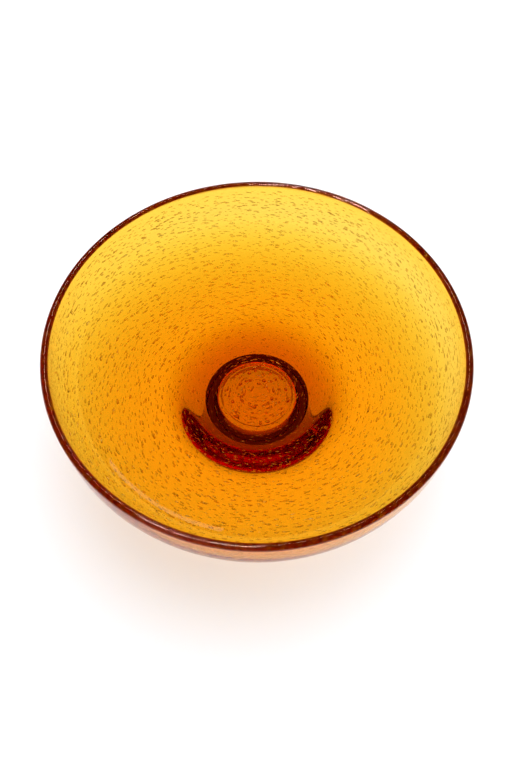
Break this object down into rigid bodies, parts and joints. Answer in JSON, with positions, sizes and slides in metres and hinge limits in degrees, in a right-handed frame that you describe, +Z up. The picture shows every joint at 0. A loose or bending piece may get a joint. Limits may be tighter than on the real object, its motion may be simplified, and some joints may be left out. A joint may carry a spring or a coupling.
{
  "type": "art glass bowl",
  "caption": "Wide round bowl of thick seeded glass with a rounded lip, on a tapered pad and a plain ring foot.",
  "frame": {"origin": "centre of the circle the foot stands on, at table level", "axes": "+Z up along the bowl's axis of revolution; X and Y are free, since the bowl is round"},
  "size_m": [0.3, 0.3, 0.112],
  "materials": {
    "inner_gather": "fire-polished, full of small seed bubbles",
    "outer_gather": "fire-polished, gently rippled",
    "rim_lip": "fire-polished, dark where it is seen edge on",
    "base_pad": "fire-polished, with faint turning ripples underneath",
    "foot": "fire-polished, a denser glass than the bowl"
  },
  "bodies": {
    "root": {"inner_gather": "inner_gather", "outer_gather": "outer_gather", "rim_lip": "rim_lip", "base_pad": "base_pad", "foot": "foot"}
  },
  "joints": []
}
